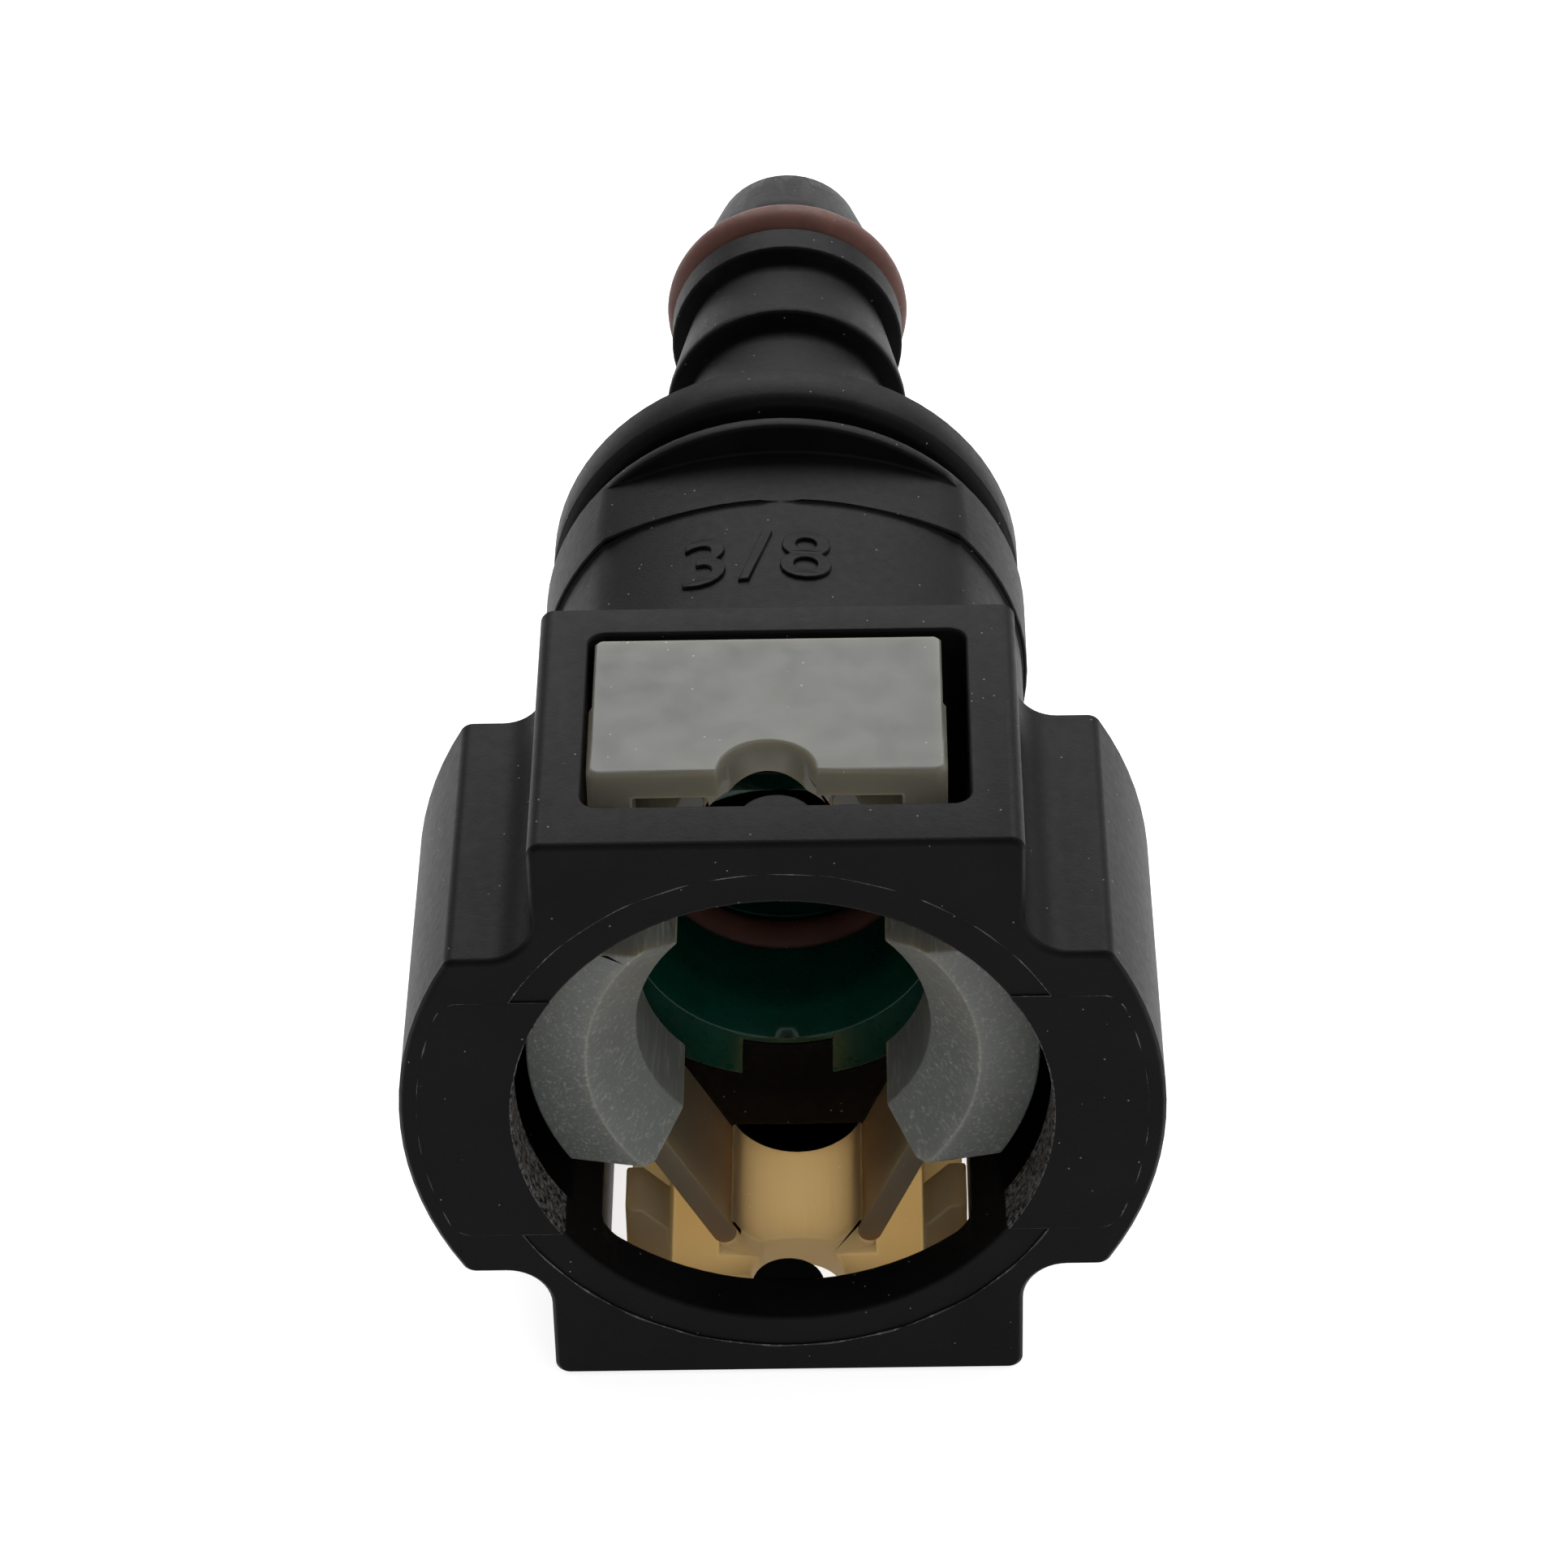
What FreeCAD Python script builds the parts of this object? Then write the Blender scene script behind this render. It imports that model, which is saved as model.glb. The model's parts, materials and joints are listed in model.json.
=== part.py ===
import FreeCAD, Part

# Quick connector for a 9.49 mm fuel-line spigot, with a squeeze-to-release retainer and a barbed hose stem.
#
# Frame: +Y runs along the flow axis from the mouth to the hose tip, +Z is up through the top press pad and
# +X is right. The origin is on the flow axis at the entry of the guide bushing's bore. Sizes are in mm.

import math
import os
import re

import Sketcher

# --------------------------------------------------------------------------------------------------------
# Driving dimensions: one cell each in the spreadsheet "Sizes"
# --------------------------------------------------------------------------------------------------------
SIZES = {
    # head: a tall box crossed by two round-sided wings
    "mouth_depth": 12.4,
    "head_width": 16.1,
    "head_height": 23.0,
    "wing_radius": 12.8,
    "wing_height": 13.6,
    "head_root_fillet": 1.5,
    "head_corner_fillet": 0.5,
    "head_edge_chamfer": 0.2,
    # mouth and chamber
    "mouth_radius": 9.03,
    "front_wall": 2.1,
    "chamber_length": 9.7,
    "head_rear_wall": 1.6,
    "window_width": 12.7,
    "window_corner": 0.6,
    "wing_wall": 1.75,
    "wing_floor": 1.5,
    "key_radius": 1.25,
    "key_setback": 0.1,
    "face_step_radius": 10.25,
    "face_step_depth": 0.08,
    # barrel
    "barrel_radius": 8.72,
    "barrel_crown": 12.0,
    "barrel_half_height": 7.75,
    "barrel_length": 11.8,
    "collar_radius": 8.92,
    "collar_crown": 14.0,
    "collar_length": 3.2,
    "rim_length": 0.6,
    # tool groove and flange
    "groove_radius": 6.6,
    "groove_length": 1.4,
    "flange_radius": 8.75,
    "flange_length": 2.6,
    "flange_chamfer": 0.5,
    # hose stem
    "stem_radius": 3.95,
    "stem_root_length": 5.05,
    "barb_radius": 4.7,
    "barb_land": 0.4,
    "barb_ramp": 4.5,
    "seal_land_radius": 4.6,
    "seal_land_length": 1.5,
    "stem_groove_radius": 2.93,
    "stem_groove_length": 2.3,
    "tip_shoulder_radius": 4.15,
    "tip_radius": 2.8,
    "tip_length": 5.05,
    "tip_chamfer": 0.5,
    # bores
    "seal_bore_radius": 6.55,
    "seal_bore_length": 8.8,
    "spigot_bore_radius": 4.85,
    "spigot_bore_length": 10.4,
    "flow_radius": 2.15,
    # seals and bushing
    "seal_section": 2.0,
    "spacer_length": 1.3,
    "spacer_bore_radius": 4.95,
    "seat_gap": 0.05,
    "guide_radius": 4.8,
    "bushing_flange_radius": 7.3,
    "bushing_flange_length": 0.9,
    "bushing_lead_radius": 5.5,
    "bushing_slot_width": 3.2,
    "stem_seal_section": 1.95,
    # retainer: two press pads, two claws and four webs
    "pad_drift": 0.3,
    "pad_side_gap": 0.42,
    "pad_rear_inset": 0.1,
    "pad_front": 1.75,
    "pad_rear_gap": 0.25,
    "pad_plate": 1.05,
    "pad_side_wall": 1.5,
    "pad_skirt": 1.5,
    "pad_leg": 3.1,
    "pad_leg_length": 2.35,
    "pad_notch_radius": 1.62,
    "pad_notch_depth": 1.75,
    "pad_leg_bevel": 0.9,
    "pad_rear_bevel": 1.3,
    "pad_rear_bevel_rise": 0.6,
    "foot_wall": 0.2,
    "trough_radius": 2.48,
    "trough_skin": 0.25,
    "pad_edge_chamfer": 0.2,
    "pad_corner_fillet": 0.4,
    "claw_ridge_radius": 6.65,
    "claw_front": 0.8,
    "claw_lead": 2.0,
    "claw_inner_radius": 5.0,
    "claw_lock": 6.2,
    "claw_outer_radius": 8.7,
    "claw_skin_radius": 6.35,
    "claw_face_fall": 0.5,
    "claw_angle": 92.0,
    "claw_height": 9.2,
    "web_thickness": 0.85,
    "web_pad_x": 2.55,
    "web_pad_drop": 1.0,
    "web_claw_x": 5.5,
    "web_claw_z": 3.6,
    "web_claw_gap": 0.3,
    "web_front_low": 5.2,
    "web_setback": 1.1,
    "web_lip_gap": 0.08,
    "web_lip_wall": 0.1,
    "pivot_gap": 0.05,
    "open_pivot_gap": 0.13,
}

doc = FreeCAD.newDocument("QuickConnector")
sheet = doc.addObject("Spreadsheet::Sheet", "Sizes")
for row, (alias, value) in enumerate(SIZES.items(), start=1):
    sheet.set(f"A{row}", alias)
    sheet.set(f"B{row}", str(value))
    sheet.setAlias(f"B{row}", alias)
doc.recompute()

# Places along the flow axis, each an expression in the sheet's sizes.
MOUTH = "(-mouth_depth)"
WALL_BACK = f"({MOUTH} + front_wall)"
CHAMBER_BACK = f"({WALL_BACK} + chamber_length)"
HEAD_LENGTH = "(front_wall + chamber_length + head_rear_wall)"
HEAD_BACK = f"({CHAMBER_BACK} + head_rear_wall)"
BARREL_BACK = f"({HEAD_BACK} + barrel_length)"
COLLAR_BACK = f"({BARREL_BACK} + collar_length)"
RIM_BACK = f"({COLLAR_BACK} + rim_length)"
FLANGE_FRONT = f"({RIM_BACK} + groove_length)"
FLANGE_BACK = f"({FLANGE_FRONT} + flange_length)"
BARB_1 = f"({FLANGE_BACK} + stem_root_length)"
BARB_2 = f"({BARB_1} + barb_land + barb_ramp)"
SEAL_LAND = f"({BARB_2} + barb_land + barb_ramp)"
STEM_GROOVE = f"({SEAL_LAND} + seal_land_length)"
TIP_SHOULDER = f"({STEM_GROOVE} + stem_groove_length)"
TIP = f"({TIP_SHOULDER} + tip_length)"
SEAL_BACK = f"({CHAMBER_BACK} + seal_bore_length)"
SPIGOT_BACK = f"({SEAL_BACK} + spigot_bore_length)"
PAD_FRONT = f"({WALL_BACK} + pad_front)"
PAD_BACK = f"({CHAMBER_BACK} - pad_rear_gap)"
CLAW_FRONT = f"({WALL_BACK} + claw_front)"
CLAW_LOCK = f"({WALL_BACK} + claw_lock)"
BUSHING_FRONT = f"({CHAMBER_BACK} - bushing_flange_length)"
WEB_BACK = f"({PAD_BACK} - pad_rear_bevel)"
WEB_FRONT = f"({PAD_FRONT} + web_setback)"
WEB_PAD_Z = "(head_height / 2 - pad_plate - web_pad_drop)"


def full(expression):
    """The expression with each size's name written as the sheet's alias."""

    def with_sheet(match):
        word = match.group()
        return f"Sizes.{word}" if word in SIZES else word

    return re.sub(r"[a-z_]\w*", with_sheet, expression)


def num(expression):
    """The expression's value in millimetres or degrees."""
    value = sheet.evalExpression(full(expression))
    return float(getattr(value, "Value", value))


def bind(thing, prop, expression):
    thing.setExpression(prop, full(expression))


# --------------------------------------------------------------------------------------------------------
# Sketch and feature helpers
# --------------------------------------------------------------------------------------------------------
def new_body(label):
    body = doc.addObject("PartDesign::Body", label)
    body.Label = label
    return body


def sketch_on(body, plane, name, at=None):
    """A sketch on an origin plane of the body, moved along +Y, +Z or +X by the expression at."""
    sketch = body.newObject("Sketcher::SketchObject", name)
    origin_plane = next(f for f in body.Origin.OriginFeatures if f.Role == plane)
    sketch.AttachmentSupport = [(origin_plane, "")]
    sketch.MapMode = "FlatFace"
    if at is not None:
        sign = "-1" if plane == "XZ_Plane" else "1"
        bind(sketch, "AttachmentOffset.Base.z", f"{sign} * ({at})")
    return sketch


def pin_point(sketch, geo, pos, u, v):
    """Holds a sketch point at the expressions u and v."""
    for kind, text in (("DistanceX", u), ("DistanceY", v)):
        index = sketch.addConstraint(Sketcher.Constraint(kind, -1, 1, geo, pos, num(text)))
        bind(sketch, f"Constraints[{index}]", text)


def polygon(sketch, points, arcs=None):
    """A closed outline through points of expressions; arcs maps a side's number to its radius and turn."""
    arcs = arcs or {}
    first = sketch.GeometryCount
    values = [FreeCAD.Vector(num(u), num(v), 0) for u, v in points]
    count = len(points)
    starts = {}
    ends = {}
    for i in range(count):
        a, b = values[i], values[(i + 1) % count]
        if i in arcs:
            radius, turn = arcs[i]
            arc, starts[i], ends[i] = arc_between(a, b, num(radius), turn)
            sketch.addGeometry(arc, False)
        else:
            sketch.addGeometry(Part.LineSegment(a, b), False)
            starts[i], ends[i] = 1, 2
    for i in range(count):
        after = (i + 1) % count
        joined = (first + i, ends[i], first + after, starts[after])
        sketch.addConstraint(Sketcher.Constraint("Coincident", *joined))
    for i, (u, v) in enumerate(points):
        pin_point(sketch, first + i, starts[i], u, v)
    for i, (radius, _) in arcs.items():
        index = sketch.addConstraint(Sketcher.Constraint("Radius", first + i, num(radius)))
        bind(sketch, f"Constraints[{index}]", radius)


def arc_between(a, b, radius, turn):
    """The short arc from a to b; turn is 1 for anticlockwise and -1 for clockwise."""
    middle = (a + b) * 0.5
    half = (b - a).Length / 2
    side = FreeCAD.Vector(-(b.y - a.y), b.x - a.x, 0).normalize()
    centre = middle + side * (turn * math.sqrt(max(radius**2 - half**2, 0)))
    from_a = math.atan2(a.y - centre.y, a.x - centre.x)
    from_b = math.atan2(b.y - centre.y, b.x - centre.x)
    circle = Part.Circle(centre, FreeCAD.Vector(0, 0, 1), radius)
    if turn > 0:
        return Part.ArcOfCircle(circle, from_a, from_b), 1, 2
    return Part.ArcOfCircle(circle, from_b, from_a), 2, 1


def circle(sketch, u, v, radius):
    geo = sketch.addGeometry(
        Part.Circle(FreeCAD.Vector(num(u), num(v), 0), FreeCAD.Vector(0, 0, 1), num(radius)), False
    )
    pin_point(sketch, geo, 3, u, v)
    index = sketch.addConstraint(Sketcher.Constraint("Radius", geo, num(radius)))
    bind(sketch, f"Constraints[{index}]", radius)


def rectangle(sketch, left, right, low, high):
    polygon(sketch, [(left, low), (right, low), (right, high), (left, high)])


def pad(body, sketch, length, reverse=False, midplane=False):
    feature = body.newObject("PartDesign::Pad", "Pad")
    feature.Profile = sketch
    bind(feature, "Length", length)
    feature.Reversed = reverse
    feature.Midplane = midplane
    return finish(feature)


def pocket(body, sketch, length=None, reverse=False):
    """Cuts the sketch: over a length away from its normal, or right through both ways."""
    feature = body.newObject("PartDesign::Pocket", "Pocket")
    feature.Profile = sketch
    if length is None:
        feature.Type = 1
        feature.Midplane = True
    else:
        bind(feature, "Length", length)
        feature.Reversed = reverse
    before = body_volume(feature)
    finish(feature)
    if before - feature.Shape.Volume < 1e-4:
        raise RuntimeError(f"{feature.Label} of {sketch.Label} cut nothing")
    return feature


def body_volume(feature):
    base = feature.BaseFeature
    return base.Shape.Volume if base is not None else 0.0


def revolve(body, sketch, axis, kind="PartDesign::Revolution", angle=None):
    feature = body.newObject(kind, kind.split("::")[1])
    feature.Profile = sketch
    feature.ReferenceAxis = (sketch, [axis])
    feature.Angle = 360.0
    if angle is not None:
        bind(feature, "Angle", angle)
        feature.Midplane = True
    return finish(feature)


def finish(feature):
    doc.recompute()
    if any(word in feature.State for word in ("Invalid", "Error")) or feature.Shape.isNull():
        raise RuntimeError(f"{feature.Label} failed: {feature.State}")
    return feature


def fillet(body, base, radius, chosen):
    """Rounds the base feature's edges that chosen accepts."""
    return dress(body, base, "PartDesign::Fillet", "Radius", radius, chosen)


def chamfer(body, base, size, chosen):
    """Breaks the base feature's edges that chosen accepts."""
    return dress(body, base, "PartDesign::Chamfer", "Size", size, chosen)


def dress(body, base, kind, prop, size, chosen):
    names = [f"Edge{i}" for i, edge in enumerate(base.Shape.Edges, start=1) if chosen(edge)]
    if not names:
        raise RuntimeError(f"no edge to dress on {base.Label}")
    feature = body.newObject(kind, kind.split("::")[1])
    feature.Base = (base, names)
    bind(feature, prop, size)
    return finish(feature)


def along_y(edge):
    """Whether an edge is a straight line along the flow axis."""
    if not isinstance(edge.Curve, Part.Line):
        return False
    return abs(edge.Curve.Direction.y) > 0.999


def at_xz(edge, x, z, near=0.05):
    """Whether an edge along the flow axis lies at plus or minus x and z."""
    point = edge.CenterOfMass
    return along_y(edge) and abs(abs(point.x) - x) < near and abs(abs(point.z) - z) < near


def in_plane_y(edge, y, near=0.01):
    box = edge.BoundBox
    return abs(box.YMin - y) < near and abs(box.YMax - y) < near


# --------------------------------------------------------------------------------------------------------
# Housing
# --------------------------------------------------------------------------------------------------------
def housing_head(body):
    """The wings, cut to a round side, and the tall box, with their corners rounded."""
    wings = sketch_on(body, "XZ_Plane", "wing_band", MOUTH)
    half_chord = "sqrt(wing_radius ^ 2 - (wing_height / 2) ^ 2)"
    polygon(
        wings,
        [
            (f"-{half_chord}", "-wing_height / 2"),
            (half_chord, "-wing_height / 2"),
            (half_chord, "wing_height / 2"),
            (f"-{half_chord}", "wing_height / 2"),
        ],
        arcs={1: ("wing_radius", 1), 3: ("wing_radius", 1)},
    )
    pad(body, wings, HEAD_LENGTH, reverse=True)
    box = sketch_on(body, "XZ_Plane", "head_box", MOUTH)
    rectangle(box, "-head_width / 2", "head_width / 2", "-head_height / 2", "head_height / 2")
    head = pad(body, box, HEAD_LENGTH, reverse=True)
    half_width, half_height, half_wing = num("head_width / 2"), num("head_height / 2"), num("wing_height / 2")
    head = fillet(body, head, "head_root_fillet", lambda e: at_xz(e, half_width, half_wing))
    wing_corner_x = num(half_chord)

    def outer_corner(edge):
        return at_xz(edge, half_width, half_height) or at_xz(edge, wing_corner_x, half_wing)

    head = fillet(body, head, "head_corner_fillet", outer_corner)
    front, back = num(MOUTH), num(HEAD_BACK)
    return chamfer(body, head, "head_edge_chamfer", lambda e: in_plane_y(e, front) or in_plane_y(e, back))


def crowned_length(body, name, radius, crown, start, length):
    """A round length of the barrel whose top and bottom are flattened to a larger crown radius."""
    outline = sketch_on(body, "XZ_Plane", f"{name}_outline", start)
    circle(outline, "0", "0", radius)
    pad(body, outline, length, reverse=True)
    for sign in ("", "-"):
        flat = sketch_on(body, "XZ_Plane", f"{name}_crown", start)
        centre = f"{sign}(barrel_half_height - {crown})"
        circle(flat, "0", centre, crown)
        circle(flat, "0", centre, f"{crown} + {radius}")
        feature = pocket(body, flat, length)
    return feature


def housing_barrel(body):
    crowned_length(body, "barrel", "barrel_radius", "barrel_crown", HEAD_BACK, "barrel_length")
    crowned_length(body, "collar", "collar_radius", "collar_crown", BARREL_BACK, "collar_length")


def housing_stem(body):
    """Rim, tool groove, flange, two barbs, the seal's groove and the tapered tip, as one turned profile."""
    profile = sketch_on(body, "YZ_Plane", "stem_profile")
    outline = [(COLLAR_BACK, "0"), (COLLAR_BACK, "collar_radius"), (RIM_BACK, "collar_radius")]
    outline += [(RIM_BACK, "groove_radius"), (FLANGE_FRONT, "groove_radius"), (FLANGE_FRONT, "flange_radius")]
    outline += [(FLANGE_BACK, "flange_radius"), (FLANGE_BACK, "stem_radius")]
    for start in (BARB_1, BARB_2):
        outline += [(start, "stem_radius"), (start, "barb_radius"), (f"{start} + barb_land", "barb_radius")]
        outline += [(f"{start} + barb_land + barb_ramp - seat_gap", "stem_radius")]
    outline += [(SEAL_LAND, "stem_radius"), (SEAL_LAND, "seal_land_radius")]
    outline += [(STEM_GROOVE, "seal_land_radius")]
    outline += [(STEM_GROOVE, "stem_groove_radius"), (TIP_SHOULDER, "stem_groove_radius")]
    outline += [(TIP_SHOULDER, "tip_shoulder_radius"), (TIP, "tip_radius"), (TIP, "0")]
    polygon(profile, outline)
    stem = revolve(body, profile, "H_Axis")
    flange_front, flange_back, tip = num(FLANGE_FRONT), num(FLANGE_BACK), num(TIP)
    flange_radius = num("flange_radius")

    def flange_edge(edge):
        at_side = in_plane_y(edge, flange_front) or in_plane_y(edge, flange_back)
        return at_side and abs(edge.BoundBox.XMax - flange_radius) < 0.01

    stem = chamfer(body, stem, "flange_chamfer", flange_edge)
    return chamfer(body, stem, "tip_chamfer", lambda e: in_plane_y(e, tip))


def housing_bores(body):
    """Mouth, seal bore, spigot bore and flow bore as one turned cut."""
    profile = sketch_on(body, "YZ_Plane", "bore_profile")
    before, after = f"{MOUTH} - front_wall", f"{TIP} + front_wall"
    outline = [(before, "0"), (before, "mouth_radius"), (CHAMBER_BACK, "mouth_radius")]
    outline += [(CHAMBER_BACK, "seal_bore_radius"), (SEAL_BACK, "seal_bore_radius")]
    outline += [(SEAL_BACK, "spigot_bore_radius"), (SPIGOT_BACK, "spigot_bore_radius")]
    outline += [(f"{SPIGOT_BACK} + spigot_bore_radius - flow_radius", "flow_radius")]
    outline += [(after, "flow_radius"), (after, "0")]
    polygon(profile, outline)
    return revolve(body, profile, "H_Axis", "PartDesign::Groove")


def housing_chamber(body):
    """The windows over the press pads and the room in the wings for the claws to spread."""
    window = sketch_on(body, "XY_Plane", "windows")
    rectangle(window, "-window_width / 2", "window_width / 2", WALL_BACK, CHAMBER_BACK)
    cut = pocket(body, window)
    half_window, front, back = num("window_width / 2"), num(WALL_BACK), num(CHAMBER_BACK)

    def window_corner(edge):
        point = edge.CenterOfMass
        upright = isinstance(edge.Curve, Part.Line) and abs(edge.Curve.Direction.z) > 0.999
        at_end = min(abs(point.y - front), abs(point.y - back)) < 0.01
        return upright and at_end and abs(abs(point.x) - half_window) < 0.01

    fillet(body, cut, "window_corner", window_corner)
    cavity = sketch_on(body, "XZ_Plane", "wing_cavity", WALL_BACK)
    radius, half_height = "(wing_radius - wing_wall)", "(wing_height / 2 - wing_floor)"
    half_chord = f"sqrt({radius} ^ 2 - {half_height} ^ 2)"
    polygon(
        cavity,
        [
            (f"-{half_chord}", f"-{half_height}"),
            (half_chord, f"-{half_height}"),
            (half_chord, half_height),
            (f"-{half_chord}", half_height),
        ],
        arcs={1: (radius, 1), 3: (radius, 1)},
    )
    return pocket(body, cavity, "chamber_length")


def housing_keys(body):
    """The half-round keys behind the front wall, above and below the mouth, that the pads' notches clear."""
    low, high = "(mouth_radius + key_setback)", "(head_height / 2 - head_corner_fillet)"
    for side, sign in (("top", ""), ("bottom", "-")):
        key = sketch_on(body, "XY_Plane", f"key_{side}", f"{sign}{low}")
        circle(key, "0", WALL_BACK, "key_radius")
        feature = pad(body, key, f"{high} - {low}", reverse=sign == "-")
    return feature


def housing_face_step(body):
    """The shallow ring that the mouth's mould core leaves in the front face."""
    step = sketch_on(body, "XZ_Plane", "face_step", MOUTH)
    circle(step, "0", "0", "face_step_radius")
    return pocket(body, step, "face_step_depth")


def make_housing():
    body = new_body("housing")
    housing_head(body)
    housing_barrel(body)
    housing_stem(body)
    housing_bores(body)
    housing_chamber(body)
    housing_keys(body)
    housing_face_step(body)
    return body


# --------------------------------------------------------------------------------------------------------
# Seals and guide bushing
# --------------------------------------------------------------------------------------------------------
BUSHING_BACK = f"({SEAL_BACK} - 2 * seal_section - spacer_length - 4 * seat_gap)"
SEAL_FRONT_Y = f"({BUSHING_BACK} + seat_gap + seal_section / 2)"
SPACER_FRONT = f"({BUSHING_BACK} + 2 * seat_gap + seal_section)"
SEAL_REAR_Y = f"({SPACER_FRONT} + spacer_length + seat_gap + seal_section / 2)"


def make_ring(label, y, centre_radius, section, sides):
    """A seal ring about the flow axis. Its round section is turned as a polygon of equal sides."""
    body = new_body(label)
    profile = sketch_on(body, "YZ_Plane", "ring_section")
    turns = [f"({360 / sides * (i + 0.5)} deg)" for i in range(sides)]
    half = f"{section} / 2"
    polygon(profile, [(f"{y} + {half} * cos{t}", f"{centre_radius} + {half} * sin{t}") for t in turns])
    revolve(body, profile, "H_Axis")
    return body


def make_seals():
    in_bore = "(seal_bore_radius - seat_gap - seal_section / 2)"
    on_stem = "(stem_groove_radius + seat_gap / 2 + stem_seal_section / 2)"
    mid_groove = f"({STEM_GROOVE} + stem_groove_length / 2)"
    return [
        make_ring("seal_ring_front", SEAL_FRONT_Y, in_bore, "seal_section", 8),
        make_ring("seal_ring_rear", SEAL_REAR_Y, in_bore, "seal_section", 8),
        make_ring("stem_seal_ring", mid_groove, on_stem, "stem_seal_section", 8),
    ]


def make_spacer():
    body = new_body("seal_spacer")
    profile = sketch_on(body, "YZ_Plane", "spacer_profile")
    rectangle(
        profile,
        SPACER_FRONT,
        f"{SPACER_FRONT} + spacer_length",
        "spacer_bore_radius",
        "seal_bore_radius - seat_gap",
    )
    revolve(body, profile, "H_Axis")
    return body


def make_bushing():
    """The flanged guide bushing: a lead-in cone, the guide bore and two slots in its flange."""
    body = new_body("guide_bushing")
    profile = sketch_on(body, "YZ_Plane", "bushing_profile")
    sleeve = "seal_bore_radius - seat_gap"
    outline = [(BUSHING_FRONT, "bushing_lead_radius"), (BUSHING_FRONT, "bushing_flange_radius")]
    outline += [(CHAMBER_BACK, "bushing_flange_radius"), (CHAMBER_BACK, sleeve), (BUSHING_BACK, sleeve)]
    outline += [(BUSHING_BACK, "guide_radius"), ("0", "guide_radius")]
    polygon(profile, outline)
    revolve(body, profile, "H_Axis")
    slots = sketch_on(body, "XZ_Plane", "flange_slots", BUSHING_FRONT)
    half_slot = "bushing_slot_width / 2"
    rectangle(slots, f"-{half_slot}", half_slot, "bushing_lead_radius", "bushing_flange_radius + front_wall")
    low = "-bushing_flange_radius - front_wall"
    rectangle(slots, f"-{half_slot}", half_slot, low, "-bushing_lead_radius")
    pocket(body, slots, "bushing_flange_length")
    return body


# --------------------------------------------------------------------------------------------------------
# Retainer: each piece is built for the top or right, and its mate is the same, turned half round
# --------------------------------------------------------------------------------------------------------
def seat_in_head(body, turned, drift=False):
    """Turns a retainer piece half round the flow axis if asked, and sets a pad to one side of its window."""
    turn = FreeCAD.Rotation(FreeCAD.Vector(0, 1, 0), 180 * turned)
    body.Placement = FreeCAD.Placement(FreeCAD.Vector(), turn)
    if drift:
        bind(body, "Placement.Base.x", "pad_drift" if turned else "-pad_drift")
    return body


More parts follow.
